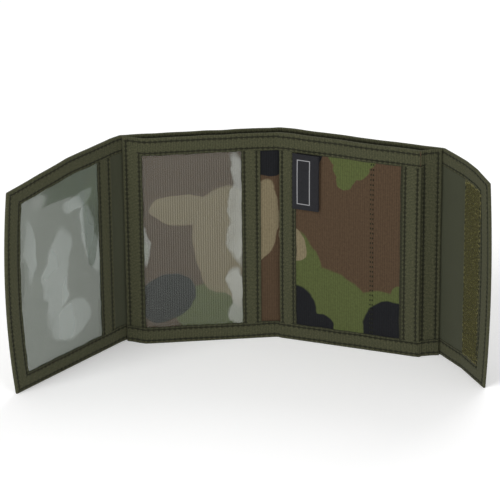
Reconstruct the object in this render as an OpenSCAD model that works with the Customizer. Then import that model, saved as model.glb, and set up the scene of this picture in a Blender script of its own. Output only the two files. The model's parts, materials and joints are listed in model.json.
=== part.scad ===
// Trifold wallet in woodland-print nylon, standing open on its lower edge like a folding screen.
// Each layer is drawn in one flat layout (X along the wallet, Z up the height, depth inwards
// from the outer face of the shell) and is then turned about its creases into the standing pose.

/* [Wallet] */
// Height of the wallet, lower edge to upper edge
height = 130; // [110:1:150]
// Width of the card panel, from the centre crease to the right fold
card_w = 93.2; // [88:0.1:105]
// Width of the window panel, from the centre fold to the left fold
window_w = 82.4; // [80:0.1:100]
// Clearance between the free edge of the identity flap and the centre fold, when closed
flap_clearance = 0.7; // [0.5:0.1:4]
// Reach of the closure flap past the right fold
closure_w = 28.5; // [26:0.5:34]

/* [Cloth] */
// Thickness of the printed nylon shell
shell_t = 0.7; // [0.5:0.05:1.2]
// Thickness of the olive lining
lining_t = 0.4; // [0.3:0.05:0.8]
// Thickness of the front wall of the banknote compartment
wall_t = 0.6; // [0.4:0.05:1]
// Thickness of the card pocket's cloth
pocket_t = 0.6; // [0.4:0.05:1]
// Thickness of the clear window film
film_t = 0.3; // [0.2:0.05:0.5]
// Depth of the open banknote compartment
bill_gap = 4.9; // [4.2:0.1:6]
// Depth of the card slot behind the card pocket
card_gap = 0.7; // [0.5:0.1:1.5]
// Gap left between layers that meet when the wallet is closed
closed_gap = 0.4; // [0.3:0.05:1]

/* [Binding] */
// Visible width of the binding tape
tape_w = 10.5; // [9:0.5:12]
// Thickness of the binding tape
tape_t = 0.35; // [0.25:0.05:0.5]
// Length of the stretch where each end of the front wall slopes down to the lining
slope_run = 13; // [11:0.5:16]
// Bare strip of print between the centre crease and the window's edge tape
bare_strip = 10.5; // [8:0.5:13]
// How far the free edge of the identity flap bows out at mid height
id_bow = 4.5; // [1:0.5:6]
// How far the upper edge of the identity flap drops towards its free corner
id_drop = 5; // [0:0.5:8]
// How far the free edge of the closure flap bows out at mid height
closure_bow = 3.5; // [3.5:0.5:5]
// How far the upper edge of the closure flap drops towards its free corner
closure_drop = 3; // [0:0.5:6]
// Radius of the flaps' free corners
corner_r = 2; // [1.5:0.5:5]

/* [Card panel] */
// Distance from the centre crease to the seam that joins the two cloths of the card pocket
pocket_seam = 54.5; // [45:0.5:60]
// Distance from the centre crease to the open edge of the card pocket
pocket_reach = 82.4; // [78:0.2:84]
// Width of the tape on the open edge of the card pocket
pocket_tape_w = 11.5; // [9:0.5:12]
// Width of the side label
label_w = 13.5; // [10:0.5:16]
// Height of the side label
label_h = 34; // [25:1:45]

/* [Closure] */
// Width of the loop strip on the back of the window panel
loop_w = 25; // [20:1:40]
// Thickness of the hook strip and of the loop strip
strip_t = 0.9; // [0.6:0.05:1.1]

/* [Standing pose] */
// Fold at the centre crease
centre_crease = 21; // [0:0.5:60]
// Fold between the centre fold and the window panel
centre_turn = 1.5; // [0:0.5:20]
// Fold between the window panel and the left fold
left_crease = 36; // [0:0.5:60]
// Fold between the left fold and the identity flap
left_turn = 4.5; // [0:0.5:30]
// Fold between the card panel and the right fold
right_crease = 38; // [0:0.5:60]
// Fold between the right fold and the closure flap
right_turn = 8; // [0:0.5:30]

/* [Hidden] */
$fn = 96;

// Depths of the layers, inwards from the shell's outer face
cloth_t = shell_t + lining_t;
wall_back = cloth_t + bill_gap;
wall_front = wall_back + wall_t;
film_front = wall_front + film_t;
card_back = wall_front + card_gap;
card_front = card_back + pocket_t;

// Widths of the folds, so that each leaf lies flat on the one below when the wallet is closed
left_w = 2 * (film_t + tape_t) + wall_front - cloth_t + closed_gap;
id_outside = left_w - (wall_front - cloth_t) + cloth_t + tape_t;
centre_w = id_outside + closed_gap + card_front - wall_front + tape_t;
right_w = 2 * (wall_front - cloth_t) + centre_w + cloth_t + 2 * strip_t + closed_gap;
id_w = window_w - flap_clearance;

// Crease positions in the flat layout
crease_c1 = -card_w / 2;
crease_c2 = crease_c1 - centre_w;
crease_l1 = crease_c2 - window_w;
crease_l2 = crease_l1 - left_w;
crease_r1 = card_w / 2;
crease_r2 = crease_r1 + right_w;

cloth_inset = 0.15;
tape_inset = 0.7;
floor_t = 1;
level_share = 0.4;
side_start = 2;
label_gap = 0.2;

// Colours
print_colour = "#5a5238";
lining_colour = "#42443a";
tape_colour = "#46483a";
film_colour = [0.62, 0.66, 0.6, 0.45];
label_colour = "#1e1f22";
hook_colour = "#4d4d2c";

function y_at(depth) = cloth_t / 2 - depth;

// A flat slab between two places along the wallet, two depths and two heights
module slab(x0, x1, d0, d1, z0, z1) {
  translate([x0, y_at(d1), z0]) cube([x1 - x0, d1 - d0, z1 - z0]);
}

// A slab whose depth changes evenly along the wallet
module sloped_slab(x0, depth0, x1, depth1, thickness, z0, z1) {
  translate([0, 0, z0]) linear_extrude(z1 - z0) polygon([
    [x0, y_at(depth0)], [x1, y_at(depth1)],
    [x1, y_at(depth1 + thickness)], [x0, y_at(depth0 + thickness)],
  ]);
}

// Extrudes an outline in length and height over a range of depths
module plate(d0, d1) {
  translate([0, y_at(d0), 0]) rotate([90, 0, 0]) linear_extrude(d1 - d0) children();
}

module at_top() {
  translate([0, 0, height]) mirror([0, 0, 1]) children();
}

// Binding folded round the lower edge of a stack of layers
module edge_channel(x0, x1, d0, d1) {
  difference() {
    slab(x0, x1, d0 - tape_t, d1 + tape_t, 0, tape_w);
    slab(x0 - 1, x1 + 1, d0, d1, tape_t, tape_w + 1);
  }
}

module both_edges(x0, x1, d0, d1) {
  edge_channel(x0, x1, d0, d1);
  at_top() edge_channel(x0, x1, d0, d1);
}

module shell_layer(x0, x1) {
  color(print_colour) slab(x0 + cloth_inset, x1 - cloth_inset, 0, shell_t, tape_t, height - tape_t);
}

module lining_layer(x0, x1) {
  color(lining_colour)
    slab(x0 + cloth_inset, x1 - cloth_inset, shell_t, cloth_t, tape_t, height - tape_t);
}

module shell_binding(x0, x1) {
  color(tape_colour) both_edges(x0 + tape_inset, x1 - tape_inset, 0, cloth_t);
}

module wall_layer(x0, x1) {
  color(print_colour) slab(x0, x1, wall_back, wall_front, tape_t, height - tape_t);
}

module floor_strip(x0, x1) {
  color(lining_colour)
    slab(x0 + tape_inset, x1 - tape_inset, cloth_t + tape_t, wall_back - tape_t, 0, floor_t);
}

// Turns a body about one vertical crease
module turned(x, depth, angle) {
  translate([x, y_at(depth), 0]) rotate(angle) translate([-x, -y_at(depth), 0]) children();
}

module on_centre() { turned(crease_c1, wall_front, centre_crease) children(); }
module on_window() { on_centre() turned(crease_c2, wall_front, centre_turn) children(); }
module on_left() { on_window() turned(crease_l1, cloth_t, left_crease) children(); }
module on_id() { on_left() turned(crease_l2, cloth_t, left_turn) children(); }
module on_right() { turned(crease_r1, cloth_t, -right_crease) children(); }
module on_closure() { on_right() turned(crease_r2, cloth_t, -right_turn) children(); }

// Card panel

wall_end_card = crease_r1 - tape_inset;
slope_start_card = wall_end_card - slope_run;
pocket_edge = crease_c1 + pocket_reach;
pocket_joint = crease_c1 + pocket_seam;
seam_edge = crease_c1 + tape_w;
label_left = seam_edge + label_gap;
label_top = height - tape_w - label_gap;

module shell_card() shell_layer(crease_c1, crease_r1);
module lining_card() lining_layer(crease_c1, crease_r1);
module binding_shell_card() shell_binding(crease_c1, crease_r1);
module compartment_floor_card() floor_strip(crease_c1, slope_start_card);
module front_wall_card() wall_layer(crease_c1 + cloth_inset, slope_start_card);

module front_wall_end_card() {
  color(print_colour)
    sloped_slab(slope_start_card, wall_back, wall_end_card - tape_t, cloth_t + tape_t, wall_t,
                tape_t, height - tape_t);
}

module wall_edge_card() {
  edge_channel(crease_c1 + tape_inset, slope_start_card, wall_back, card_front);
  edge_channel(slope_start_card, pocket_edge, card_back, card_front);
}

module binding_wall_top_card() { color(tape_colour) at_top() wall_edge_card(); }
module binding_wall_bottom_card() { color(tape_colour) wall_edge_card(); }

module binding_wall_side_card() {
  color(tape_colour) side_binding(slope_start_card, wall_end_card);
}

// Binding on the sloped end of the front wall, folded round its edge
module side_binding(x0, x1) {
  step = x1 > x0 ? 1 : -1;
  turn_in = x1 - step * tape_t;
  drop = (wall_back - cloth_t - tape_t) / (slope_run - tape_t);
  low = cloth_t + tape_t + wall_t;
  sloped_slab(x0 + step * side_start, wall_front - drop * side_start, turn_in, low, tape_t, 0, height);
  slab(min(turn_in, x1), max(turn_in, x1), cloth_t + tape_t, low + tape_t, 0, height);
}

module seam_tape_card() {
  color(tape_colour)
    slab(crease_c1 + tape_inset, seam_edge, card_front, card_front + tape_t, tape_w, height - tape_w);
}

module pocket_cloth(x0, x1) {
  color(print_colour) slab(x0, x1, card_back, card_front, tape_t, height - tape_t);
}

module card_pocket() { pocket_cloth(crease_c1 + tape_inset, pocket_joint); }
module card_pocket_end() { pocket_cloth(pocket_joint, pocket_edge - tape_t); }

module card_pocket_binding() {
  color(tape_colour) {
    slab(pocket_edge - pocket_tape_w, pocket_edge - tape_t, card_front, card_front + tape_t,
         tape_w, height - tape_w);
    slab(pocket_edge - tape_t, pocket_edge, card_back, card_front + tape_t, tape_w, height - tape_w);
  }
}

module side_label() {
  color(label_colour)
    slab(label_left, label_left + label_w, card_front, card_front + tape_t,
         label_top - label_h, label_top);
}

// Centre fold

module shell_centre() on_centre() shell_layer(crease_c2, crease_c1);
module lining_centre() on_centre() lining_layer(crease_c2, crease_c1);
module binding_shell_centre() on_centre() shell_binding(crease_c2, crease_c1);
module compartment_floor_centre() on_centre() floor_strip(crease_c2, crease_c1);
module front_wall_centre() {
  on_centre() wall_layer(crease_c2 + cloth_inset, crease_c1 - cloth_inset);
}
module binding_wall_centre() {
  color(tape_colour) on_centre()
    both_edges(crease_c2 + tape_inset, crease_c1 - tape_inset, wall_back, wall_front);
}

// Window panel

wall_end_window = crease_l1 + tape_inset;
slope_start_window = wall_end_window + slope_run;
window_edge = crease_c1 - bare_strip;

module shell_window() on_window() shell_layer(crease_l1, crease_c2);
module lining_window() on_window() lining_layer(crease_l1, crease_c2);
module binding_shell_window() on_window() shell_binding(crease_l1, crease_c2);
module compartment_floor_window() on_window() floor_strip(slope_start_window, crease_c2);
module front_wall_window() on_window() wall_layer(slope_start_window, crease_c2 - cloth_inset);

module front_wall_end_window() {
  color(print_colour) on_window()
    sloped_slab(slope_start_window, wall_back, wall_end_window + tape_t, cloth_t + tape_t, wall_t,
                tape_t, height - tape_t);
}

module wall_edge_window() {
  edge_channel(slope_start_window, crease_c2 - tape_inset, wall_back, film_front);
}

module binding_wall_top_window() { color(tape_colour) on_window() at_top() wall_edge_window(); }
module binding_wall_bottom_window() { color(tape_colour) on_window() wall_edge_window(); }

module binding_wall_side_window() {
  color(tape_colour) on_window() side_binding(slope_start_window, wall_end_window);
}

module window_film() {
  color(film_colour) on_window()
    slab(slope_start_window, window_edge - tape_t, wall_front, film_front, tape_t, height - tape_t);
}

module window_edge_tape() {
  color(tape_colour) on_window() {
    slab(window_edge - tape_w, window_edge - tape_t, film_front, film_front + tape_t,
         tape_w, height - tape_w);
    slab(window_edge - tape_t, window_edge, wall_front, film_front + tape_t,
         tape_w, height - tape_w);
  }
}

module loop_strip() {
  color(hook_colour) on_window()
    slab(crease_l1 + 2, crease_l1 + 2 + loop_w, -strip_t, 0, tape_w, height - tape_w);
}

// Left fold

module shell_left() on_left() shell_layer(crease_l2, crease_l1);
module lining_left() on_left() lining_layer(crease_l2, crease_l1);
module binding_left() on_left() shell_binding(crease_l2, crease_l1);

// Free flaps, drawn outwards from their crease at x = 0

// Outline of a flap, drawn in from its edge by an inset. Its free edge is bowed, its upper edge
// drops towards the free corner, and both free corners are rounded
module flap_outline(reach, bow, drop, inset) {
  edge_r = (height * height / 4 + bow * bow) / (2 * bow);
  round_r = corner_r - inset;
  corner_x = reach - bow - inset;
  difference() {
    intersection() {
      polygon([[0, inset], [reach, inset], [reach, height - drop - inset],
               [reach * level_share, height - inset], [0, height - inset]]);
      translate([reach - inset - edge_r, height / 2]) circle(r = edge_r, $fn = 720);
    }
    translate([corner_x - round_r, inset]) free_corner(round_r);
    translate([corner_x - round_r, height - drop - inset]) mirror([0, 1]) free_corner(round_r);
  }
}

// What a free corner loses when it is rounded
module free_corner(round_r) {
  difference() {
    translate([0, -1]) square([corner_r + 2, round_r + 1]);
    translate([0, round_r]) circle(r = round_r);
  }
}

// The part of the outline within a tape's width of the free edge
module outer_band(reach, bow, drop) {
  edge_r = (height * height / 4 + bow * bow) / (2 * bow);
  difference() {
    flap_outline(reach, bow, drop, 0);
    translate([reach - edge_r - tape_w, height / 2]) circle(r = edge_r, $fn = 720);
  }
}

module flap_cloth(reach, bow, drop, d0, d1) {
  plate(d0, d1) intersection() {
    flap_outline(reach, bow, drop, tape_t);
    translate([cloth_inset, 0]) square([reach, height]);
  }
}

module outer_binding(reach, bow, drop, face) {
  difference() {
    plate(-tape_t, face + tape_t) outer_band(reach, bow, drop);
    plate(0, face) flap_outline(reach, bow, drop, tape_t);
  }
}

module flap_edge_binding(reach, bow, drop, face, top) {
  difference() {
    plate(-tape_t, face + tape_t) difference() {
      intersection() {
        flap_outline(reach, bow, drop, 0);
        translate([tape_inset, 0]) square([reach, height]);
      }
      translate([0, top ? -tape_w : tape_w]) inner_field(reach, drop, top);
      outer_band(reach, bow, drop);
    }
    plate(0, face) flap_outline(reach, bow, drop, tape_t);
  }
}

// Everything on the flap's side of its upper or lower edge
module inner_field(reach, drop, top) {
  if (top) polygon([[-1, -height], [reach + 1, -height], [reach + 1, height - drop],
                    [reach * level_share, height], [-1, height]]);
  else translate([-1, 0]) square([reach + 2, 2 * height]);
}

module as_id() { on_id() translate([crease_l2, 0, 0]) mirror([1, 0, 0]) children(); }
module as_closure() { on_closure() translate([crease_r2, 0, 0]) children(); }

// Identity flap

id_face = cloth_t + film_t;

module shell_id() { color(print_colour) as_id() flap_cloth(id_w, id_bow, id_drop, 0, shell_t); }
module lining_id() { color(lining_colour) as_id() flap_cloth(id_w, id_bow, id_drop, shell_t, cloth_t); }

module id_film() {
  color(film_colour) as_id() plate(cloth_t, id_face) intersection() {
    flap_outline(id_w, id_bow, id_drop, tape_t);
    translate([tape_inset + tape_t, 0]) square([id_w, height]);
  }
}

module id_edge_tape() {
  color(tape_colour) as_id() {
    slab(tape_inset + tape_t, tape_inset + tape_w, id_face, id_face + tape_t, tape_w, height - tape_w);
    slab(tape_inset, tape_inset + tape_t, cloth_t, id_face + tape_t, tape_w, height - tape_w);
  }
}

module binding_id_top() {
  color(tape_colour) as_id() flap_edge_binding(id_w, id_bow, id_drop, id_face, true);
}
module binding_id_bottom() {
  color(tape_colour) as_id() flap_edge_binding(id_w, id_bow, id_drop, id_face, false);
}
module binding_id_outer() {
  color(tape_colour) as_id() outer_binding(id_w, id_bow, id_drop, id_face);
}

// Right fold

module shell_right() on_right() shell_layer(crease_r1, crease_r2);
module lining_right() on_right() lining_layer(crease_r1, crease_r2);
module binding_right() on_right() shell_binding(crease_r1, crease_r2);

// Closure flap

module shell_closure() {
  color(print_colour) as_closure() flap_cloth(closure_w, closure_bow, closure_drop, 0, shell_t);
}
module lining_closure() {
  color(lining_colour) as_closure()
    flap_cloth(closure_w, closure_bow, closure_drop, shell_t, cloth_t);
}
module hook_strip() {
  color(hook_colour) as_closure() plate(cloth_t, cloth_t + strip_t) difference() {
    translate([tape_inset, tape_w])
      square([closure_w - tape_w - tape_inset, height - 2 * tape_w - closure_drop]);
    outer_band(closure_w, closure_bow, closure_drop);
  }
}
module binding_closure_top() {
  color(tape_colour) as_closure()
    flap_edge_binding(closure_w, closure_bow, closure_drop, cloth_t, true);
}
module binding_closure_bottom() {
  color(tape_colour) as_closure()
    flap_edge_binding(closure_w, closure_bow, closure_drop, cloth_t, false);
}
module binding_closure_outer() {
  color(tape_colour) as_closure() outer_binding(closure_w, closure_bow, closure_drop, cloth_t);
}

shell_card();
lining_card();
binding_shell_card();
compartment_floor_card();
front_wall_card();
front_wall_end_card();
binding_wall_top_card();
binding_wall_bottom_card();
binding_wall_side_card();
seam_tape_card();
card_pocket();
card_pocket_end();
card_pocket_binding();
side_label();
shell_centre();
lining_centre();
binding_shell_centre();
compartment_floor_centre();
front_wall_centre();
binding_wall_centre();
shell_window();
lining_window();
binding_shell_window();
compartment_floor_window();
front_wall_window();
front_wall_end_window();
binding_wall_top_window();
binding_wall_bottom_window();
binding_wall_side_window();
window_film();
window_edge_tape();
loop_strip();
shell_left();
lining_left();
binding_left();
shell_id();
lining_id();
id_film();
id_edge_tape();
binding_id_top();
binding_id_bottom();
binding_id_outer();
shell_right();
lining_right();
binding_right();
shell_closure();
lining_closure();
hook_strip();
binding_closure_top();
binding_closure_bottom();
binding_closure_outer();
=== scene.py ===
import json
import math
import random
import bpy
import bmesh
from mathutils import Matrix, Vector, noise


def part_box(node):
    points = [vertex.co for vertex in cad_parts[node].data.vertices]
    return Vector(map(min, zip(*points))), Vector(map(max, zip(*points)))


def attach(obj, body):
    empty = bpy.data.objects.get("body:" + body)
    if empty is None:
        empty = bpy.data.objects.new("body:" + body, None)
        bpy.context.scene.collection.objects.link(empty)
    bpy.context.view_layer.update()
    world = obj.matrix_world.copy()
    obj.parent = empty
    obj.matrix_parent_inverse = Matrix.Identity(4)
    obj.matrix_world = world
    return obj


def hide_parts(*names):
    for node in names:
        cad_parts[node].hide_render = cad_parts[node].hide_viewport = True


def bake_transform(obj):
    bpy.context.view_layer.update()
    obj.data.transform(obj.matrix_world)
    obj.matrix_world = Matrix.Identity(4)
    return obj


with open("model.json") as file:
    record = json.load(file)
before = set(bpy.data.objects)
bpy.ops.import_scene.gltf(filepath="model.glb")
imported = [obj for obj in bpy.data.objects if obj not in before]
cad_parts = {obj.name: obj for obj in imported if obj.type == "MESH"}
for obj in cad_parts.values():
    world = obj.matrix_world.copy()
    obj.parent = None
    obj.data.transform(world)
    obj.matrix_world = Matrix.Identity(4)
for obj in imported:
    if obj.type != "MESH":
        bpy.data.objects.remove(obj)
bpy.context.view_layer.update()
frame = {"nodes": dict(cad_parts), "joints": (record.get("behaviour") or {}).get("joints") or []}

mm = 0.001
joints = {joint["name"]: joint for joint in frame["joints"]}
leftChain = ["centre_crease", "centre_turn", "left_crease", "left_turn"]
rightChain = ["right_crease", "right_turn"]
foldedWith = {"card_panel": [], "centre_fold": leftChain[:1], "window_panel": leftChain[:2],
              "left_fold": leftChain[:3], "id_flap": leftChain, "right_fold": rightChain[:1],
              "closure_flap": rightChain}
foldReach = 1.8 * mm  # how far a fold's bend spreads to each side of its crease


# The wallet is drawn flat and then turned about its creases, as the real one is sewn flat and then folded

def restAngle(name):
    joint = joints[name]
    return math.radians(-joint["range_deg"][0]) * joint["axis"][2]


def turned(x, y, pivot, angle):
    c, s = math.cos(angle), math.sin(angle)
    dx, dy = x - pivot[0], y - pivot[1]
    return pivot[0] + c * dx - s * dy, pivot[1] + s * dx + c * dy


creases = {}
for chain in (leftChain, rightChain):
    for place, name in enumerate(chain):
        x, y = joints[name]["pos_m"][:2]
        for inner in chain[:place]:
            x, y = turned(x, y, creases[inner], -restAngle(inner))
        creases[name] = (x, y)


def smooth(t):
    t = min(max(t, 0), 1)
    return t * t * (3 - 2 * t)


def bump(t):
    return math.exp(-t * t)


def stand(u, y, z):  # from the flat layout to the wallet as it stands
    side, chain = (1, leftChain) if u < 0 else (-1, rightChain)
    x = u
    for name in reversed(chain):
        past = (creases[name][0] - u) * side
        share = smooth((past + foldReach) / (2 * foldReach))
        if share > 0:
            x, y = turned(x, y, creases[name], share * restAngle(name))
    return Vector((x, y, z))


def flatBox(node, body):  # a node's box in the flat layout
    low, high = [math.inf] * 3, [-math.inf] * 3
    for vert in frame["nodes"][node].data.vertices:
        x, y, z = vert.co
        for name in foldedWith[body]:
            x, y = turned(x, y, creases[name], -restAngle(name))
        for axis, value in enumerate((x, y, z)):
            low[axis] = min(low[axis], value)
            high[axis] = max(high[axis], value)
    return low, high


print("laying the wallet out flat")
# Places in the flat layout: u along the wallet, y through it with -y inwards, z up
shellBox = flatBox("shell_card", "card_panel")
liningBox = flatBox("lining_card", "card_panel")
wallBox = flatBox("front_wall_card", "card_panel")
pocketBox = flatBox("card_pocket", "card_panel")
pocketEndBox = flatBox("card_pocket_end", "card_panel")
pocketTapeBox = flatBox("card_pocket_binding", "card_panel")
seamBox = flatBox("seam_tape_card", "card_panel")
labelBox = flatBox("side_label", "card_panel")
bindingBox = flatBox("binding_shell_card", "card_panel")
wallSideBox = flatBox("binding_wall_side_card", "card_panel")
windowSideBox = flatBox("binding_wall_side_window", "window_panel")
windowFilmBox = flatBox("window_film", "window_panel")
windowTapeBox = flatBox("window_edge_tape", "window_panel")
loopBox = flatBox("loop_strip", "window_panel")
idTapeBox = flatBox("id_edge_tape", "id_flap")
idOuterBox = flatBox("binding_id_outer", "id_flap")
closureOuterBox = flatBox("binding_closure_outer", "closure_flap")
hookBox = flatBox("hook_strip", "closure_flap")

height = bindingBox[1][2]
tapeThick = bindingBox[1][1] - shellBox[1][1]
tapeWide = seamBox[0][2]
shellBack, liningFront = shellBox[1][1], liningBox[0][1]
wallBack, wallFront = wallBox[1][1], wallBox[0][1]
pocketBack, pocketFront = pocketBox[1][1], pocketBox[0][1]
filmThick = windowFilmBox[1][1] - windowFilmBox[0][1]
centreCrease, windowCrease = creases["centre_crease"][0], creases["centre_turn"][0]
leftCrease, idCrease = creases["left_crease"][0], creases["left_turn"][0]
rightCrease, closureCrease = creases["right_crease"][0], creases["right_turn"][0]

flaps = {
    "id": {"crease": idCrease, "reach": idCrease - idOuterBox[0][0], "way": -1,
           "bow": 4.5 * mm, "drop": 5 * mm, "levelShare": 0.4},
    "closure": {"crease": closureCrease, "reach": closureOuterBox[1][0] - closureCrease, "way": 1,
                "bow": 3.5 * mm, "drop": 3 * mm, "levelShare": 0.4},
}


def freeEdge(flap, z):  # where a flap's bowed free edge is at one height
    radius = (height ** 2 / 4 + flap["bow"] ** 2) / (2 * flap["bow"])
    reach = flap["reach"] - radius + math.sqrt(radius ** 2 - (z - height / 2) ** 2)
    return flap["crease"] + flap["way"] * reach


def topAt(u):  # height of the upper edge along the wallet
    flap = flaps["id"] if u < 0 else flaps["closure"]
    out = (u - flap["crease"]) * flap["way"] / flap["reach"]
    fall = (out - flap["levelShare"]) / (1 - flap["levelShare"])
    return height - flap["drop"] * min(max(fall, 0), 1)


binding = {"leafRows": 17, "foldRows": 6, "round": 0.7 * mm, "step": 1.0 * mm, "rows": (2.0 * mm, 8.9 * mm),
           "dip": 0.3 * mm, "dipWide": 0.7 * mm, "pitch": 3.0 * mm, "waver": 0.3 * mm, "waverSize": 9 * mm,
           "stitch": (2.1 * mm, 0.33 * mm, 0.22 * mm), "proud": 0.02 * mm}


# Colours and materials

def paint(red, green, blue, alpha=1):
    def linear(value):
        value /= 255
        return value / 12.92 if value <= 0.04045 else ((value + 0.055) / 1.055) ** 2.4
    return linear(red), linear(green), linear(blue), alpha


class Finish:  # one material, with short ways to add nodes

    def __init__(self, name, rough=0.8, sheen=0):
        self.material = bpy.data.materials.new(name)
        self.material.use_nodes = True
        self.nodes = self.material.node_tree.nodes
        self.links = self.material.node_tree.links
        self.shader = self.nodes["Principled BSDF"]
        self.shader.inputs["Roughness"].default_value = rough
        self.shader.inputs["Specular IOR Level"].default_value = 0.15
        self.shader.inputs["Sheen Weight"].default_value = sheen
        self.shader.inputs["Sheen Roughness"].default_value = 0.5
        self.cloth = self.node("ShaderNodeUVMap", uv_map="flat").outputs[0]

    def node(self, kind, **settings):
        made = self.nodes.new(kind)
        for key, value in settings.items():
            setattr(made, key, value)
        return made

    def feed(self, socket, value):
        if isinstance(value, bpy.types.NodeSocket):
            self.links.new(value, socket)
        else:
            socket.default_value = value

    def maths(self, operation, *values):
        made = self.node("ShaderNodeMath", operation=operation)
        for socket, value in zip(made.inputs, values):
            self.feed(socket, value)
        return made.outputs[0]

    def vector(self, operation, *values):
        made = self.node("ShaderNodeVectorMath", operation=operation)
        for socket, value in zip(made.inputs, values):
            self.feed(socket, value)
        return made.outputs["Value" if operation == "LENGTH" else "Vector"]

    def noise(self, scale, detail=2, place=None, stretch=None, output=0):
        place = place or self.cloth
        if stretch:
            mapping = self.node("ShaderNodeMapping")
            mapping.inputs["Scale"].default_value = stretch
            self.feed(mapping.inputs["Vector"], place)
            place = mapping.outputs[0]
        made = self.node("ShaderNodeTexNoise")
        made.inputs["Scale"].default_value = scale
        made.inputs["Detail"].default_value = detail
        self.feed(made.inputs["Vector"], place)
        return made.outputs[output]

    def ribs(self, pitch, across="X", waver=0.0):
        made = self.node("ShaderNodeTexWave", wave_type="BANDS", bands_direction=across)
        made.inputs["Scale"].default_value = 2 * math.pi / 20 / pitch
        made.inputs["Distortion"].default_value = waver
        self.feed(made.inputs["Vector"], self.cloth)
        return made.outputs["Fac"]

    def blend(self, share, first, second, kind="MIX"):
        made = self.node("ShaderNodeMix", data_type="RGBA", blend_type=kind)
        self.feed(made.inputs[0], share)
        self.feed(made.inputs[6], first)
        self.feed(made.inputs[7], second)
        return made.outputs[2]

    def ramp(self, value, low, high, toLow=0.0, toHigh=1.0):
        made = self.node("ShaderNodeMapRange")
        for socket, number in zip(made.inputs, (value, low, high, toLow, toHigh)):
            self.feed(socket, number)
        return made.outputs[0]

    def colour(self, socket):
        self.feed(self.shader.inputs["Base Color"], socket)

    def relief(self, value, depth, strength=1.0):
        made = self.node("ShaderNodeBump")
        made.inputs["Strength"].default_value = strength
        made.inputs["Distance"].default_value = depth
        self.feed(made.inputs["Height"], value)
        self.links.new(made.outputs[0], self.shader.inputs["Normal"])


camouflage = {
    "brown": paint(76, 60, 44), "green": paint(78, 86, 48), "beige": paint(120, 110, 86),
    "black": paint(22, 23, 26),
    "rib": 1.3 * mm, "ribShade": (0.88, 1.04), "thread": 0.55 * mm, "relief": 0.12 * mm,
    "fade": (0.86, 1.12), "raggedness": 12 * mm,
    # blobs in millimetres: centre along and up, half sizes, turn in degrees
    "greenBlobs": [(-5, 121, 14, 9, 0), (-5, 113, 10, 8, 0), (-7, 106, 5, 7, 0), (-33, 47, 12, 25, 8),
                   (-14, 27, 30, 20, -27), (14, 22, 19, 18, 0), (22, 36, 4, 8, 0), (45, 112, 10, 20, 0),
                   (-86, 20, 20, 19, 8), (-76, 14, 10, 14, 0), (-130, 60, 9, 10, 0)],
    "beigeBlobs": [(-38, 63, 9, 11, 15), (-57, 74, 10, 27, -10), (-101, 85, 17, 10, -12),
                   (-76, 64, 20, 34, 4), (-70, 32, 7, 14, 30)],
    "blackBlobs": [(-32, 10, 12, 25, 14), (-22, 8, 9, 11, -10), (18, 14, 15, 20, -12),
                   (-52, 113, 9, 10, 0), (-110, 29, 17, 14, 28), (-30, 120, 7, 9, 0)],
    # the print away from the front: where the pattern is cut from, and how little of each colour
    "elsewhere": {"green": (11, 0.52), "beige": (23, 0.6), "black": (37, 0.62)}, "edge": 0.012,
}
middleGrey = (0.5, 0.5, 0.5)
# the darkening along the stitch rows and towards the tape's inner edge is painted shade
tapeLook = {"colour": paint(72, 73, 52), "shade": paint(46, 47, 31), "light": paint(92, 90, 66),
            "rib": 0.9 * mm, "relief": 0.18 * mm, "pressed": 0.3, "edge": 0.7 * mm, "edgeShade": 0.45}
liningLook = {"colour": paint(68, 71, 54), "shade": paint(58, 60, 45), "weave": 0.5 * mm,
              "relief": 0.06 * mm}
filmLook = {
    "rough": 0.09, "specular": 1.0, "coat": 1.0, "coatIor": 1.9, "coatRough": 0.06, "wander": 14 * mm,
    # haze and clear are the film's own colour and alpha; the pale colour and the higher alpha are painted
    # reflection
    "window": {"haze": paint(120, 127, 117), "cloud": paint(182, 186, 176), "clear": 0.1, "cloudy": 0.4},
    "id": {"haze": paint(124, 134, 121), "cloud": paint(158, 168, 160), "clear": 0.5, "cloudy": 0.62},
    # painted reflection patches in millimetres, as for the print
    "clouds": [(-70, 84, 4.6, 34, 0), (-70.8, 26, 4.6, 20, 4), (-122, 62, 3, 12, 0),
               (-160, 78, 7, 24, 12), (-186, 62, 9, 30, -8), (-176, 30, 13, 12, 30),
               (-205, 84, 4, 20, 0), (-168, 104, 12, 5, 10)],
}
hookLook = {"base": paint(30, 31, 16), "light": paint(112, 108, 62), "relief": 0.5 * mm}
loopLook = {"base": paint(58, 60, 40), "light": paint(84, 85, 58), "relief": 0.5 * mm}
threadLook = {"dark": paint(22, 24, 13), "light": paint(40, 42, 24)}
labelLook = {"base": paint(20, 20, 23), "light": paint(40, 40, 46), "mark": paint(150, 150, 152),
             "rib": 0.45 * mm, "relief": 0.05 * mm,
             "frame": [(24.5 * mm, 3.6 * mm), (17 * mm, 13.5 * mm)]}  # centre and half size, each way


def camouflageBlobs(finish, place, blobs, outer=1.03, inner=0.97):
    nearest = None
    for along, up, halfLong, halfHigh, turn in blobs:
        frameOf = finish.node("ShaderNodeMapping", vector_type="TEXTURE")
        frameOf.inputs["Location"].default_value = (along * mm, up * mm, 0)
        frameOf.inputs["Rotation"].default_value = (0, 0, math.radians(turn))
        frameOf.inputs["Scale"].default_value = (halfLong * mm, halfHigh * mm, 1)
        finish.feed(frameOf.inputs["Vector"], place)
        away = finish.vector("LENGTH", frameOf.outputs[0])
        nearest = away if nearest is None else finish.maths("MINIMUM", nearest, away)
    return finish.ramp(nearest, outer, inner)


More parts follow.
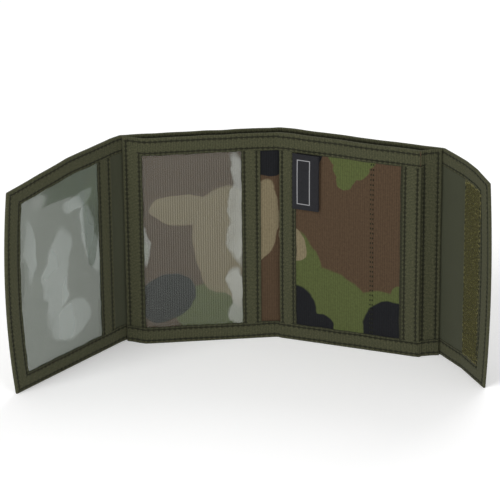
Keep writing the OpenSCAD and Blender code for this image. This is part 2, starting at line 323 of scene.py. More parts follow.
def woodlandPrint(name, placed):
    finish = Finish(name, rough=0.85, sheen=0.04)
    ragged = camouflage["raggedness"]
    waver = finish.vector("SUBTRACT", finish.noise(38, 3, output=1), middleGrey)
    waver = finish.vector("MULTIPLY", waver, (ragged, ragged, 0))
    place = finish.vector("ADD", finish.cloth, waver)
    colour = camouflage["brown"]
    for tone, (seed, edge) in camouflage["elsewhere"].items():
        if placed:
            share = camouflageBlobs(finish, place, camouflage[tone + "Blobs"])
        else:
            shifted = finish.vector("ADD", place, (seed, 0, 0))
            patches = finish.noise(18, 1, shifted, (1, 1.5, 1))
            share = finish.ramp(patches, edge, edge + camouflage["edge"])
        colour = finish.blend(share, colour, camouflage[tone])
    ribs = finish.ribs(camouflage["rib"])
    over, under = finish.ribs(camouflage["thread"]), finish.ribs(camouflage["thread"], "Y")
    threads = finish.maths("MULTIPLY", over, under)
    fade = finish.ramp(finish.noise(700, 3), 0.3, 0.7, *camouflage["fade"])
    shade = finish.maths("MULTIPLY", finish.ramp(ribs, 0, 1, *camouflage["ribShade"]), fade)
    colour = finish.blend(1.0, colour, shade, "MULTIPLY")
    finish.colour(colour)
    relief = finish.maths("ADD", ribs, finish.maths("MULTIPLY", threads, 0.4))
    finish.relief(relief, camouflage["relief"], 0.6)
    return finish.material


def bindingTape():
    finish = Finish("ribbed_binding_tape", rough=0.82, sheen=0.05)
    ribs = finish.ribs(tapeLook["rib"], "X", 0.6)
    fine = finish.ribs(tapeLook["rib"] * 0.8, "Y", 0.6)
    fleck = finish.noise(1100, 3)
    weave = finish.maths("ADD", finish.maths("MULTIPLY", ribs, 0.5), finish.maths("MULTIPLY", fleck, 0.6))
    colour = finish.blend(finish.ramp(weave, 0.15, 0.75), tapeLook["shade"], tapeLook["colour"])
    colour = finish.blend(finish.ramp(fleck, 0.5, 0.75, 0, 0.45), colour, tapeLook["light"])
    parts = finish.node("ShaderNodeSeparateXYZ")
    finish.feed(parts.inputs[0], finish.cloth)
    across = finish.maths("ABSOLUTE", parts.outputs[1])
    # painted shade: the tape is darkened along its two stitch rows, where the dips fall into shade
    nearest = finish.maths("MINIMUM", *[finish.maths("ABSOLUTE", finish.maths("SUBTRACT", across, row))
                                        for row in binding["rows"]])
    rowShadeWidth = finish.ramp(finish.ribs(binding["pitch"]), 0, 1, 0.5 * mm, 1.5 * mm)
    pressed = finish.ramp(nearest, 0.2 * mm, rowShadeWidth, tapeLook["pressed"], 1)
    # painted shade: the tape darkens towards its inner edge, standing for the shadow in the gap beside it
    edge = finish.ramp(across, tapeWide - tapeLook["edge"], tapeWide, 1, tapeLook["edgeShade"])
    colour = finish.blend(1.0, colour, finish.maths("MULTIPLY", pressed, edge), "MULTIPLY")
    finish.colour(colour)
    finish.relief(finish.maths("ADD", weave, finish.maths("MULTIPLY", fine, 0.3)), tapeLook["relief"])
    return finish.material


def liningNylon():
    finish = Finish("lining_nylon", rough=0.6, sheen=0.04)
    over = finish.ribs(liningLook["weave"], "X")
    under = finish.ribs(liningLook["weave"], "Y")
    weave = finish.maths("MULTIPLY", over, under)
    colour = finish.blend(weave, liningLook["shade"], liningLook["colour"])
    colour = finish.blend(finish.ramp(finish.noise(60, 2), 0.35, 0.7, 0, 0.35), colour, liningLook["shade"])
    finish.colour(colour)
    finish.relief(weave, liningLook["relief"])
    return finish.material


def clearFilm(name, look):
    finish = Finish(name, rough=filmLook["rough"])
    finish.shader.inputs["Specular IOR Level"].default_value = filmLook["specular"]
    finish.shader.inputs["Coat Weight"].default_value = filmLook["coat"]
    finish.shader.inputs["Coat IOR"].default_value = filmLook["coatIor"]
    finish.shader.inputs["Coat Roughness"].default_value = filmLook["coatRough"]
    waver = finish.vector("SUBTRACT", finish.noise(55, 2, output=1), middleGrey)
    waver = finish.vector("MULTIPLY", waver, (filmLook["wander"], filmLook["wander"], 0))
    place = finish.vector("ADD", finish.cloth, waver)
    # painted reflection: pale patches in the film's colour and alpha stand for reflections on the film
    cloud = camouflageBlobs(finish, place, filmLook["clouds"], 1.12, 0.9)
    reflectionBreakup = finish.noise(26, 3, stretch=(1, 0.4, 1))
    cloud = finish.maths("MULTIPLY", cloud, finish.ramp(reflectionBreakup, 0.35, 0.6, 0.35, 1))
    finish.colour(finish.blend(cloud, look["haze"], look["cloud"]))
    finish.feed(finish.shader.inputs["Alpha"], finish.ramp(cloud, 0, 1, look["clear"], look["cloudy"]))
    return finish.material


def threadFinish():
    finish = Finish("sewing_thread", rough=0.7)
    finish.colour(finish.blend(finish.noise(1500, 1), threadLook["dark"], threadLook["light"]))
    return finish.material


def hookTape(name, look):
    finish = Finish(name, rough=0.75, sheen=0.06)
    finish.colour(finish.blend(finish.ramp(finish.noise(900, 2), 0.42, 0.62), look["base"], look["light"]))
    finish.relief(finish.noise(900, 2), look["relief"])
    return finish.material


def satinLabel():
    finish = Finish("black_satin", rough=0.42, sheen=0.1)
    ribs = finish.ribs(labelLook["rib"], "Y")
    colour = finish.blend(finish.maths("MULTIPLY", ribs, finish.noise(500, 2)), labelLook["base"],
                          labelLook["light"])
    parts = finish.node("ShaderNodeSeparateXYZ")
    finish.feed(parts.inputs[0], finish.cloth)
    sides = []
    for axis, (centre, half) in enumerate(labelLook["frame"]):
        sides.append(finish.maths("SUBTRACT", finish.maths("ABSOLUTE", finish.maths(
            "SUBTRACT", parts.outputs[axis], centre)), half))
    edge = finish.maths("ABSOLUTE", finish.maths("MAXIMUM", *sides))
    colour = finish.blend(finish.ramp(edge, 0.18 * mm, 0.3 * mm, 1, 0), colour, labelLook["mark"])
    finish.colour(colour)
    finish.relief(ribs, labelLook["relief"])
    return finish.material


print("mixing the finishes")
frontPrint = woodlandPrint("woodland_print_front", True)
shellPrint = woodlandPrint("woodland_print_shell", False)
tapeFinish = bindingTape()
liningFinish = liningNylon()
windowFilmFinish = clearFilm("clear_film_window", filmLook["window"])
idFilmFinish = clearFilm("clear_film_id", filmLook["id"])
stitchFinish = threadFinish()
hookFinish = hookTape("hook_tape", hookLook)
loopFinish = hookTape("loop_tape", loopLook)
labelFinish = satinLabel()


# Making pieces

def finishPiece(name, bm, material, thick=None, side=-1.0):
    for face in bm.faces:
        face.smooth = True
    for edge in bm.edges:
        edge.smooth = not edge.is_boundary  # a crisp cut edge
    mesh = bpy.data.meshes.new(name)
    bm.to_mesh(mesh)
    bm.free()
    mesh.materials.append(material)
    piece = bpy.data.objects.new(name, mesh)
    bpy.context.collection.objects.link(piece)
    if thick:
        solid = piece.modifiers.new("thickness", "SOLIDIFY")
        solid.thickness = thick
        solid.offset = side
        solid.use_even_offset = False
    return piece


def gridOf(columns, rows, place, flip=False):
    bm = bmesh.new()
    pattern = bm.loops.layers.uv.new("flat")
    bmesh.ops.create_grid(bm, x_segments=columns, y_segments=rows, size=0.5)
    printed = []
    for index, vert in enumerate(bm.verts):
        vert.index = index
        (u, y, z), mark = place(vert.co.x + 0.5, vert.co.y + 0.5)
        vert.co = stand(u, y, z)
        printed.append(mark or (u, z))
    for face in bm.faces:
        for loop in face.loops:
            loop[pattern].uv = printed[loop.vert.index]
    if flip:
        bmesh.ops.reverse_faces(bm, faces=bm.faces)
    return bm


def together(parts):
    whole = bmesh.new()
    whole.loops.layers.uv.new("flat")
    for part in parts:
        carrier = bpy.data.meshes.new("carrier")
        part.to_mesh(carrier)
        part.free()
        whole.from_mesh(carrier)
        bpy.data.meshes.remove(carrier)
    return whole


def bendAt(piece, jointName, y):
    u = creases[jointName][0]
    out = foldReach * (-1 if jointName in leftChain else 1)
    stand(u - out, y, height / 2)
    stand(u + out, y, height / 2)
    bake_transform(piece)


def wave(u, z, size, seed):
    return noise.noise(Vector((u / size, z / size, seed)))


slackRise = 14 * mm  # how far from a binding cloth is first free to move


def slack(u, z):  # how freely cloth moves, none under the bindings
    return smooth((z - tapeWide) / slackRise) * smooth((topAt(u) - tapeWide - z) / slackRise)


clothLook = {"step": 2.5 * mm, "fineStep": 1.2 * mm, "ripple": 0.5 * mm, "rippleSize": 38 * mm}


def bodyRipple(u, z):
    return clothLook["ripple"] * wave(u, z, clothLook["rippleSize"], 3.7) * slack(u, z)


# Each cloth runs from the middle of one leaf to the middle of the next, over one crease. None is a free edge
middleOf = {
    "closure": (0.5 * (rightCrease + closureCrease), None, "right_turn"),
    "right": (0.0, 0.5 * (rightCrease + closureCrease), "right_crease"),
    "centre": (0.5 * (centreCrease + windowCrease), 0.0, "centre_crease"),
    "window": (0.5 * (windowCrease + leftCrease), 0.5 * (centreCrease + windowCrease), "centre_turn"),
    "left": (0.5 * (leftCrease + idCrease), 0.5 * (windowCrease + leftCrease), "left_crease"),
    "id": (None, 0.5 * (leftCrease + idCrease), "left_turn"),
}


def sheetPlace(start, stop, y, inset):
    def place(a, b):
        z = inset + b * (height - 2 * inset)
        uFrom = freeEdge(flaps["id"], z) + inset if start is None else start
        uTo = freeEdge(flaps["closure"], z) - inset if stop is None else stop
        u = uFrom + a * (uTo - uFrom)
        z = inset + b * (topAt(u) - 2 * inset)
        return (u, y + bodyRipple(u, z), z), None
    return place


def clothLength(start, stop):
    low = flaps["id"]["crease"] - flaps["id"]["reach"] if start is None else start
    high = flaps["closure"]["crease"] + flaps["closure"]["reach"] if stop is None else stop
    return high - low


def evenCount(length, step):
    return max(2, round(length / step))


def bodyCloth(label, material, y, thick, stands):
    for name, (start, stop, joint) in middleOf.items():
        long = clothLength(start, stop)
        columns, rows = evenCount(long, clothLook["fineStep"]), evenCount(height, clothLook["step"])
        bm = gridOf(columns, rows, sheetPlace(start, stop, y, tapeThick))
        piece = finishPiece(label + "_" + name, bm, material, thick)
        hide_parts(*stands[name])
        bendAt(piece, joint, y)


print("cutting the shell and the lining")
bodyCloth("shell_cloth", shellPrint, shellBox[0][1], shellBox[1][1] - shellBox[0][1], {
    "closure": ["shell_closure", "shell_right"], "right": ["shell_card"], "centre": ["shell_centre"],
    "window": ["shell_window"], "left": ["shell_left"], "id": ["shell_id"]})
bodyCloth("lining_cloth", liningFinish, liningFront, liningBox[1][1] - liningFront, {
    "closure": ["lining_closure", "lining_right"], "right": ["lining_card"], "centre": ["lining_centre"],
    "window": ["lining_window"], "left": ["lining_left"], "id": ["lining_id"]})


# Binding tape folded round an edge, with two rows of stitches

def tapeSection(wide):  # distance from the fold, and which leaf: 1 behind, -1 in front
    section = []
    for k in range(binding["leafRows"]):
        section.append((wide - k * (wide - binding["round"]) / binding["leafRows"], 1))
    for k in range(binding["foldRows"] + 1):
        turn = math.pi * (0.5 - k / binding["foldRows"])
        section.append((binding["round"] * (1 - math.cos(turn)), math.sin(turn)))
    for k in range(1, binding["leafRows"] + 1):
        section.append((binding["round"] + k * (wide - binding["round"]) / binding["leafRows"], -1))
    return section


def stitchDip(along, offsets):  # how far the stitches pull the tape in
    pinch = 0.6 + 0.4 * math.cos(2 * math.pi * along / binding["pitch"])
    return sum(binding["dip"] * pinch * bump(offset / binding["dipWide"]) for offset in offsets)


def tapePoint(rail, back, front, a, w, side):
    u, z, along = rail(a, w)
    dip = stitchDip(along, [w - row for row in binding["rows"]])
    yBack, yFront = back(u, z), front(u, z)
    half = 0.5 * (yBack - yFront) + tapeThick / 2 - dip * abs(side)
    y = 0.5 * (yBack + yFront) + side * half
    return (u, y, z), along


def tapeStrip(rail, long, back, front, flip=False, wide=None):
    section = tapeSection(wide or tapeWide)
    last = len(section) - 1

    def place(a, b):
        w, side = section[round(b * last)]
        drift = noise.noise(Vector((a * long / binding["waverSize"], 4.2, 1.1)))
        w += binding["waver"] * drift * smooth(w / tapeWide)
        point, along = tapePoint(rail, back, front, a, w, side)
        return point, (along, w * (1 if side > 0 else -1))
    return gridOf(evenCount(long, binding["step"]), last, place, flip)


def stitchesAlong(pointAt, long, chance, size=(1, 1, 1)):
    bm = bmesh.new()
    bm.loops.layers.uv.new("flat")
    count = int(long / binding["pitch"])
    for k in range(count):
        middle = (k + 0.5) / count
        ahead, (u, y, z) = Vector(pointAt(middle + 0.2 / count)), pointAt(middle)
        here = stand(u, y, z)
        along = (stand(*ahead) - here).normalized()
        outwards = along.cross((stand(u, y - 0.5 * mm, z) - here).normalized())
        frameOf = Matrix((along, outwards, along.cross(outwards))).transposed().to_4x4()
        tilt = Matrix.Rotation(chance.uniform(-0.09, 0.09), 4, "Z")
        stitchLong, stitchWide, stitchDeep = binding["stitch"]
        thread = Matrix.Diagonal((stitchLong / 2 * size[0], stitchWide * size[1], stitchDeep * size[2], 1))
        bmesh.ops.create_uvsphere(bm, u_segments=6, v_segments=4, radius=1,
                                  matrix=Matrix.Translation(here) @ frameOf @ tilt @ thread)
    return bm


def tapeStitches(rail, long, back, front, chance, sides=(1, -1)):
    parts = []
    for row in binding["rows"]:
        for side in sides:
            def pointAt(a, row=row, side=side):
                (u, y, z), _ = tapePoint(rail, back, front, a, row, side)
                return u, y + side * (tapeThick / 2 + binding["proud"]), z
            parts.append(stitchesAlong(pointAt, long, chance))
    return parts


def constant(value):
    return lambda u, z: value


edgeLook = {"waver": 0.3 * mm, "size": 11 * mm, "straight": 1 * mm}


def edgeWaver(u, seed):
    return edgeLook["waver"] * noise.noise(Vector((u / edgeLook["size"], seed, 0)))


# A rail gives a place on the tape from a, along the edge, and w, the distance in from the edge

def lowerRail(start, stop, mitreStart=0, mitreStop=0):
    def rail(a, w):
        low = (freeEdge(flaps["id"], w) if start is None else start) + mitreStart * w
        high = (freeEdge(flaps["closure"], w) if stop is None else stop) - mitreStop * w
        u = low + a * (high - low)
        return u, w + edgeWaver(u, 1.5) * (w > edgeLook["straight"]), u
    return rail


def upperRail(start, stop, mitreStart=0, mitreStop=0):
    def rail(a, w):
        low = (freeEdge(flaps["id"], height - flaps["id"]["drop"] - w) if start is None else start)
        high = (freeEdge(flaps["closure"], height - flaps["closure"]["drop"] - w) if stop is None else stop)
        low, high = low + mitreStart * w, high - mitreStop * w
        u = low + a * (high - low)
        return u, topAt(u) - w + edgeWaver(u, 6.5), u
    return rail


def outerRail(flap):
    def rail(a, w):
        top = topAt(freeEdge(flap, height - flap["drop"] - w) - flap["way"] * w) - w
        z = w + a * (top - w)
        u = freeEdge(flap, z) - flap["way"] * w
        return u, z, z
    return rail


print("binding the shell")
tapeNodes = {
    "closure": ["binding_closure_top", "binding_closure_bottom", "binding_right"],
    "right": ["binding_shell_card"], "centre": ["binding_shell_centre"], "window": ["binding_shell_window"],
    "left": ["binding_left"], "id": ["binding_id_top", "binding_id_bottom"],
}


def stackFront(u, z):  # the film lies over the identity flap's lining
    over = smooth((idCrease + 3 * mm - u) / (4 * mm))
    return liningFront - filmThick * over


for name, (start, stop, joint) in middleOf.items():
    long = clothLength(start, stop)
    back = constant(shellBack)
    rails = [(lowerRail(start, stop, start is None, stop is None), False),
             (upperRail(start, stop, start is None, stop is None), True)]
    chance = random.Random(name)
    strips = [tapeStrip(rail, long, back, stackFront, flip) for rail, flip in rails]
    piece = finishPiece("edge_tape_" + name, together(strips), tapeFinish, tapeThick, 0)
    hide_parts(*tapeNodes[name])
    bendAt(piece, joint, liningFront)
    seams = []
    for rail, flip in rails:
        seams += tapeStitches(rail, long, back, stackFront, chance)
    piece = finishPiece("edge_stitches_" + name, together(seams), stitchFinish)
    bendAt(piece, joint, liningFront)

for name, body in (("id", "id_flap"), ("closure", "closure_flap")):
    flap = flaps[name]
    rail = outerRail(flap)
    back = constant(shellBack)
    strip = tapeStrip(rail, height, back, stackFront, name == "id")
    piece = finishPiece("outer_tape_" + name, strip, tapeFinish, tapeThick, 0)
    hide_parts("binding_" + name + "_outer")
    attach(piece, body)
    seams = tapeStitches(rail, height, back, stackFront, random.Random(name + "outer"))
    piece = finishPiece("outer_stitches_" + name, together(seams), stitchFinish)
    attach(piece, body)


# The front wall of the banknote compartment

wallLook = {"bulge": 0.5 * mm, "step": 2.0 * mm, "rippleSize": 30 * mm, "level": 10 * mm, "sunk": 0.92,
            "backShare": 0.6}
wallThick = wallBack - wallFront
wallEndCard, wallEndWindow = wallSideBox[1][0], windowSideBox[0][0]
slopeCard = wallBox[1][0]
slopeWindow = windowFilmBox[0][0]


def wallDrop(u):  # how far the wall has sunk towards the lining, 0 to 1
    if u > slopeCard:
        return smooth((u - slopeCard) / (wallEndCard - slopeCard) * wallLook["sunk"])
    return smooth((slopeWindow - u) / (slopeWindow - wallEndWindow) * wallLook["sunk"])


def wallFace(u):
    low = liningFront - tapeThick - wallThick
    return wallFront + (low - wallFront) * wallDrop(u)


def wallRipple(u, z):
    level = smooth((u - wallEndWindow) / wallLook["level"]) * smooth((wallEndCard - u) / wallLook["level"])
    return wallLook["bulge"] * wave(u, z, wallLook["rippleSize"], 8.3) * slack(u, z) * level


pocketStop = pocketTapeBox[1][0]


def wallStack(u, z):  # the front of what the wall's binding holds: film, then the card pocket
    onCard = smooth((u - centreCrease + 1.5 * mm) / (3 * mm)) * smooth((pocketStop - u) / (1.2 * mm) + 1)
    face = wallFace(u) - filmThick * (1 - smooth((u - centreCrease) / (2 * mm)))
    return face + (pocketFront - wallFront) * onCard


def wallRear(u, z):
    return wallFace(u) + wallThick


print("sewing the front wall")
wallParts = {
    "card": (0.5 * (centreCrease + windowCrease), wallEndCard - tapeThick, "centre_crease",
             ["front_wall_card", "front_wall_end_card", "front_wall_centre"],
             ["binding_wall_top_card", "binding_wall_bottom_card", "binding_wall_centre"]),
    "window": (wallEndWindow + tapeThick, 0.5 * (centreCrease + windowCrease), "centre_turn",
               ["front_wall_window", "front_wall_end_window"],
               ["binding_wall_top_window", "binding_wall_bottom_window"]),
}
for name, (start, stop, joint, cloths, tapes) in wallParts.items():
    long = stop - start

    def place(a, b):
        u, z = start + a * long, tapeThick + b * (height - 2 * tapeThick)
        return (u, wallFace(u) + abs(wallRipple(u, z)) * wallLook["backShare"], z), None
    bm = gridOf(evenCount(long, clothLook["fineStep"]), evenCount(height, wallLook["step"]), place)
    piece = finishPiece("wall_cloth_" + name, bm, frontPrint, wallThick)
    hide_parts(*cloths)
    bendAt(piece, joint, wallFront)
    ends = (0, 1) if name == "card" else (1, 0)
    tapeStart, tapeStop = (start, wallEndCard) if name == "card" else (wallEndWindow, stop)
    rails = [(lowerRail(tapeStart, tapeStop), False), (upperRail(tapeStart, tapeStop, *ends), True)]
    chance = random.Random("wall" + name)

    def overSide(u, z):  # the lower tape laps over the side tapes
        near = smooth((u - wallEndCard + tapeWide + 1 * mm) / (1 * mm))
        near = max(near, smooth((wallEndWindow + tapeWide + 1 * mm - u) / (1 * mm)))
        return wallStack(u, z) - tapeThick * near * (z < height / 2)
    strips = [tapeStrip(rail, long, wallRear, overSide, flip) for rail, flip in rails]
    piece = finishPiece("wall_tape_" + name, together(strips), tapeFinish, tapeThick, 0)
    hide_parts(*tapes)
    bendAt(piece, joint, wallFront)
    seams = []
    for rail, flip in rails:
        seams += tapeStitches(rail, long, wallRear, overSide, chance)
    piece = finishPiece("wall_stitches_" + name, together(seams), stitchFinish)
    bendAt(piece, joint, wallFront)


def sideRail(end, way):
    def rail(a, w):
        z = a * (height - w)
        return end - way * w, z, z
    return rail


for name, end, way, body, flip in (("card", wallEndCard, 1, "card_panel", False),
                                   ("window", wallEndWindow, -1, "window_panel", True)):
    rail = sideRail(end, way)

    def front(u, z):
        return wallFace(u) - filmThick * (u < 0)
    strip = tapeStrip(rail, height, wallRear, front, flip)
    piece = finishPiece("wall_side_tape_" + name, strip, tapeFinish, tapeThick, 0)
    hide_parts("binding_wall_side_" + name)
    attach(piece, body)
    seams = tapeStitches(rail, height, wallRear, front, random.Random("side" + name), (-1,))
    piece = finishPiece("wall_side_stitches_" + name, together(seams), stitchFinish)
    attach(piece, body)

floorHigh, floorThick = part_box("compartment_floor_card")[1][2], 0.6 * mm
floorBack, floorFront = wallBack + tapeThick, liningFront - tapeThick
floorNodes = {"card": ["compartment_floor_card", "compartment_floor_centre"],
              "window": ["compartment_floor_window"]}
for name, (start, stop, joint, _, _) in wallParts.items():
    low, high = max(start, slopeWindow), min(stop, slopeCard)

    def place(a, b):
        u = low + a * (high - low)
        return (u, floorFront + (1 - b) * (floorBack - floorFront), floorHigh), None
    bm = gridOf(evenCount(high - low, clothLook["fineStep"]), 6, place)
    piece = finishPiece("compartment_floor_" + name + "_cloth", bm, liningFinish, floorThick)
    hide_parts(*floorNodes[name])
    bendAt(piece, joint, wallFront)


# Flat tapes with both long edges free, sewn on by two rows

def flatTape(name, low, high, bottom, top, face, body, node):
    rows = (low + 1.7 * mm, high - 1.7 * mm)

    def surface(u, z):
        return face(u, z) - tapeThick + stitchDip(z, [u - row for row in rows])

    def place(a, b):
        z = bottom + b * (top - bottom)
        u = low + a * (high - low) + binding["waver"] * wave(z, 0, binding["waverSize"], low * 90)
        spread = (binding["rows"][1] - binding["rows"][0]) / (rows[1] - rows[0])
        return (u, surface(u, z), z), (z, binding["rows"][0] + (u - rows[0]) * spread)
    bm = gridOf(18, evenCount(top - bottom, binding["step"]), place)
    piece = finishPiece(name, bm, tapeFinish, tapeThick)
    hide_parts(node)
    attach(piece, body)
    parts = []
    chance = random.Random(name)
    for row in rows:
        def pointAt(a, row=row):
            z = bottom + a * (top - bottom)
            return row, surface(row, z) - binding["proud"], z
        parts.append(stitchesAlong(pointAt, top - bottom, chance))
    piece = finishPiece(name + "_stitches", together(parts), stitchFinish)
    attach(piece, body)


print("sewing the card pocket")
pocket = {"bulge": 0.6 * mm, "gape": 0.6 * mm, "ripple": 0.35 * mm, "rippleSize": 26 * mm,
          "seam": pocketEndBox[0][0], "step": 0.25 * mm, "zigzag": 1.3 * mm}
pocketStart, pocketEnd = pocketBox[0][0], pocketEndBox[1][0]


def pocketFace(u, z):
    along = (u - pocketStart) / (pocketEnd - pocketStart)
    swell = pocket["bulge"] * math.sin(math.pi * min(max(along, 0), 1)) ** 0.8
    ripple = pocket["ripple"] * wave(u, z, pocket["rippleSize"], 5.1) * 0.5
    over = pocket["step"] * (1 - smooth((u - pocket["seam"]) / (1 * mm)))
    gape = pocket["gape"] * smooth((along - 0.75) * 4)  # the open side stands away
    return pocketFront - (swell + ripple + over + gape) * slack(u, z)


def place(a, b):
    u, z = pocketStart + a * (pocketEnd - pocketStart), tapeThick + b * (height - 2 * tapeThick)
    return (u, pocketFace(u, z), z), None


bm = gridOf(evenCount(pocketEnd - pocketStart, 0.8 * mm), evenCount(height, 1.6 * mm), place)
piece = finishPiece("card_pocket_cloth", bm, frontPrint, pocketBack - pocketFront)
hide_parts("card_pocket", "card_pocket_end")
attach(piece, "card_panel")

zigzag = []
chance = random.Random(5)
for lean in (-1, 1):
    def pointAt(a, lean=lean):
        z = tapeWide + a * (height - 2 * tapeWide)
        return pocket["seam"] + lean * pocket["zigzag"] / 2, pocketFace(pocket["seam"], z) - 0.05 * mm, z
    zigzag.append(stitchesAlong(pointAt, height - 2 * tapeWide, chance, (0.7, 1, 1)))
piece = finishPiece("pocket_seam_stitches", together(zigzag), stitchFinish)
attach(piece, "card_panel")

flatTape("seam_tape", seamBox[0][0], seamBox[1][0], tapeWide - 0.5 * mm, height - tapeWide + 0.5 * mm,
         lambda u, z: pocketFace(u, z), "card_panel", "seam_tape_card")


def freeTape(name, end, way, wide, back, front, body, node, flip):
    low, high = tapeWide - 1 * mm, height - tapeWide + 1 * mm

    def rail(a, w):
        z = low + a * (high - low)
        return end - way * w, z, z
    strip = tapeStrip(rail, high - low, back, front, flip, wide)
    piece = finishPiece(name, strip, tapeFinish, tapeThick, 0)
    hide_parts(node)
    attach(piece, body)
    seams = tapeStitches(rail, high - low, back, front, random.Random(name), (-1,))
    piece = finishPiece(name + "_stitches", together(seams), stitchFinish)
    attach(piece, body)


freeTape("card_pocket_tape", pocketStop, 1, pocketTapeBox[1][0] - pocketTapeBox[0][0],
         lambda u, z: pocketFace(u, z) + pocketBack - pocketFront, pocketFace, "card_panel",
         "card_pocket_binding", False)


# Clear films

film = {"bulge": 0.7 * mm, "bulgeSize": 45 * mm, "stand": 0.15 * mm, "step": 1.2 * mm, "rise": 13 * mm,
        "crinkle": 0.7 * mm, "crinkleSize": 16 * mm, "crinkleHigh": 30 * mm, "crinkleReach": 22 * mm}


def filmSheet(name, low, high, face, body, node, material, seed):
    long = high(height / 2) - low(height / 2)

    def surface(u, z, z0):
        inside = smooth((u - low(z0) - tapeWide) / film["rise"])
        inside *= smooth((high(z0) - tapeWide - u) / film["rise"])
        inside *= smooth((z - tapeWide) / film["rise"]) * smooth((topAt(u) - tapeWide - z) / film["rise"])
        crease = 0.5 + wave(u, z * 0.35, film["crinkleSize"], seed)
        tight = film["crinkle"] * crease * bump((z - film["crinkleHigh"]) / film["crinkleReach"])
        loose = film["bulge"] * (0.6 + 0.8 * wave(u, z, film["bulgeSize"], seed + 5))
        return face(u) - inside * (film["stand"] + loose + tight)

    def place(a, b):
        z0 = tapeThick + b * (height - 2 * tapeThick)
        u = low(z0) + a * (high(z0) - low(z0))
        z = tapeThick + b * (topAt(u) - 2 * tapeThick)
        return (u, surface(u, z, z0), z), None
    bm = gridOf(evenCount(long, film["step"]), evenCount(height, film["step"]), place)
    piece = finishPiece(name, bm, material, filmThick)
    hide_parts(node)
    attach(piece, body)


print("fitting the clear films")
windowStop = windowTapeBox[1][0]
filmSheet("window_film_sheet", lambda z: wallEndWindow + 1.2 * mm, lambda z: windowStop - tapeThick,
          lambda u: wallFace(u) - filmThick, "window_panel", "window_film", windowFilmFinish, 12.0)
idStop = idTapeBox[1][0]
filmSheet("id_film_sheet", lambda z: freeEdge(flaps["id"], z) + 1.2 * mm, lambda z: idStop - tapeThick,
          lambda u: liningFront - filmThick, "id_flap", "id_film", idFilmFinish, 31.0)
freeTape("window_edge_tape_strip", windowStop, 1, tapeWide, lambda u, z: wallFace(u) - 0.05 * mm,
         lambda u, z: wallFace(u) - filmThick, "window_panel", "window_edge_tape", False)
freeTape("id_edge_tape_strip", idStop, 1, tapeWide, lambda u, z: liningFront - 0.05 * mm,
         lambda u, z: liningFront - filmThick, "id_flap", "id_edge_tape", False)


# Label, hook strip and loop strip

print("adding the label and the hook and loop strips")
label = {"thick": 0.3 * mm, "curl": 0.8 * mm, "fold": 0.5 * mm, "tucked": 2 * mm, "clear": 0.35 * mm}
labelLow, labelHigh = labelBox


def labelPlace(a, b):  # out from under the seam tape, round the fold and back
    across = labelHigh[0] - labelLow[0] + label["tucked"]
    run = a * 2
    z = labelLow[2] + b * (labelHigh[2] - labelLow[2])
    out = run if run < 1 else 2 - run
    u = labelLow[0] - label["tucked"] + out * across
    layer = label["fold"] * (1 if run < 1 else -1) * math.sin(math.pi * min(out, 0.999)) ** 0.3 * 0.5
    lift = label["curl"] * smooth(out) * (0.35 + 0.65 * b) * 0.5
    base = pocketFace(u, z) - tapeThick * 0.6 - label["fold"] - label["clear"]
    return (u, base - lift + layer - 0.1 * mm * wave(u, z, 9 * mm, 2.0), z), (run * across, z - labelLow[2])


bm = gridOf(44, 40, labelPlace, flip=True)
piece = finishPiece("side_label_cloth", bm, labelFinish, label["thick"], 0)
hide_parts("side_label")
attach(piece, "card_panel")


def bristleStrip(name, box, y, toViewer, body, node, material, tuft, topOf):
    low, high = box
    rise = tuft["base"] * toViewer

    def place(a, b):
        u = low[0] + a * (high[0] - low[0])
        z = low[2] + b * (topOf(u) - low[2])
        return (u, y + rise + bodyRipple(u, z), z), None
    parts = [gridOf(12, 50, place, toViewer > 0)]
    chance = random.Random(name)
    columns = evenCount(high[0] - low[0] - 2 * tuft["edge"], tuft["pitch"])
    rows = evenCount(topOf(low[0]) - low[2] - 2 * tuft["edge"], tuft["pitch"])
    hooks = bmesh.new()
    hooks.loops.layers.uv.new("flat")
    for column in range(columns):
        for row in range(rows):
            u = low[0] + tuft["edge"] + (column + 0.5 + chance.uniform(-0.2, 0.2)) * tuft["pitch"]
            z = low[2] + tuft["edge"] + (row + 0.5 + chance.uniform(-0.2, 0.2)) * tuft["pitch"]
            z = min(z, topOf(u) - tuft["edge"] / 2)
            here = stand(u, y + rise * 1.6 + bodyRipple(u, z), z)
            tall = tuft["height"] * chance.uniform(0.75, 1.1)
            thread = Matrix.Diagonal((tuft["wide"], tall, tuft["wide"] * 1.5, 1))
            lean = Matrix.Rotation(chance.uniform(-0.7, 0.7), 4, "X") @ Matrix.Rotation(
                chance.uniform(-0.7, 0.7), 4, "Z")
            bmesh.ops.create_icosphere(hooks, subdivisions=1, radius=1,
                                       matrix=Matrix.Translation(here) @ lean @ thread)
    parts.append(hooks)
    piece = finishPiece(name, together(parts), material)
    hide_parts(node)
    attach(piece, body)


hook = {"pitch": 1.2 * mm, "height": 0.42 * mm, "wide": 0.36 * mm, "base": 0.35 * mm, "edge": 1.2 * mm}
loop = {"pitch": 1.5 * mm, "height": 0.32 * mm, "wide": 0.5 * mm, "base": 0.35 * mm, "edge": 0.8 * mm}
bristleStrip("closure_hook_strip", hookBox, liningFront, -1, "closure_flap", "hook_strip", hookFinish, hook,
             lambda u: topAt(u) - tapeWide + 0.5 * mm)
bristleStrip("window_loop_strip", loopBox, shellBack, 1, "window_panel", "loop_strip", loopFinish, loop,
             lambda u: loopBox[1][2])
for name, box, y, side, body in (("closure_hook", hookBox, liningFront - hook["base"], -1, "closure_flap"),
                                 ("window_loop", loopBox, shellBack + loop["base"], 1, "window_panel")):
    seams = []
    for u in (box[0][0] + 0.9 * mm, box[1][0] - 0.9 * mm):
        def pointAt(a, u=u):
            z = box[0][2] + a * (box[1][2] - box[0][2])
            return u, y + side * 0.05 * mm + bodyRipple(u, z), z
        seams.append(stitchesAlong(pointAt, box[1][2] - box[0][2], random.Random(name)))
    piece = finishPiece(name + "_stitches", together(seams), stitchFinish)
    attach(piece, body)


# Floor, light and camera

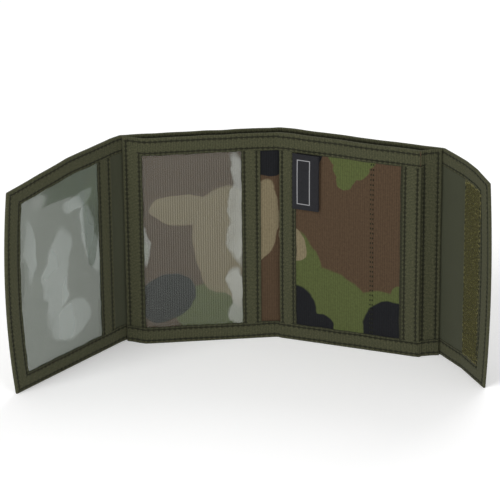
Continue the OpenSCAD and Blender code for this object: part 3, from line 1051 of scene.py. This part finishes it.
studio = {"floor": paint(252, 252, 252), "floorHalf": 6, "glow": 0.12, "world": 0.5,
          # place in metres, size, watts
          "lamps": {"key": ((-0.9, -1.3, 1.5), 0.9, 20), "fill": ((1.2, -1.2, 0.9), 0.8, 6),
                    "rim": ((0.2, 1.2, 1.4), 1.0, 8)}}
view = {"azimuth": 17.3, "elevation": 28.0, "distance": 2.066, "lens": 263.95, "roll": -0.54,
        "aside": -16.5 * mm, "above": -7.8 * mm}


def floorAndLight():
    bm = bmesh.new()
    bmesh.ops.create_grid(bm, x_segments=2, y_segments=2, size=studio["floorHalf"])
    mesh = bpy.data.meshes.new("studio_floor")
    bm.to_mesh(mesh)
    bm.free()
    floor = bpy.data.objects.new("studio_floor", mesh)
    bpy.context.collection.objects.link(floor)
    material = bpy.data.materials.new("studio_floor")
    material.use_nodes = True
    shader = material.node_tree.nodes["Principled BSDF"]
    shader.inputs["Base Color"].default_value = studio["floor"]
    shader.inputs["Roughness"].default_value = 0.9
    shader.inputs["Emission Color"].default_value = (1, 1, 1, 1)
    shader.inputs["Emission Strength"].default_value = studio["glow"]
    mesh.materials.append(material)
    world = bpy.data.worlds.new("studio")
    world.use_nodes = True
    world.node_tree.nodes["Background"].inputs["Color"].default_value = (1, 1, 1, 1)
    world.node_tree.nodes["Background"].inputs["Strength"].default_value = studio["world"]
    bpy.context.scene.world = world
    for name, (place, size, power) in studio["lamps"].items():
        lamp = bpy.data.lights.new(name, "AREA")
        lamp.size = size
        lamp.energy = power
        light = bpy.data.objects.new(name, lamp)
        bpy.context.collection.objects.link(light)
        light.location = place
        light.rotation_euler = (-Vector(place)).to_track_quat("-Z", "Y").to_euler()


def placeCamera():
    azimuth, elevation = math.radians(view["azimuth"]), math.radians(view["elevation"])
    ahead = Vector((-math.sin(azimuth) * math.cos(elevation), math.cos(azimuth) * math.cos(elevation),
                    -math.sin(elevation)))
    right = Vector((math.cos(azimuth), math.sin(azimuth), 0))
    up = right.cross(ahead)
    centre = Vector((*joints["centre_crease"]["pos_m"][:2], height / 2))
    target = centre + right * view["aside"] + up * view["above"]
    roll = math.radians(view["roll"])
    across = right * math.cos(roll) + up * math.sin(roll)
    lens = bpy.data.cameras.new("camera")
    lens.lens = view["lens"]
    lens.clip_end = 20
    camera = bpy.data.objects.new("camera", lens)
    bpy.context.collection.objects.link(camera)
    turn = Matrix((across, across.cross(ahead), -ahead)).transposed().to_4x4()
    camera.matrix_world = Matrix.Translation(target - ahead * view["distance"]) @ turn
    bpy.context.scene.camera = camera


print("lighting the scene")
floorAndLight()
placeCamera()
bpy.context.scene.view_settings.view_transform = "Standard"
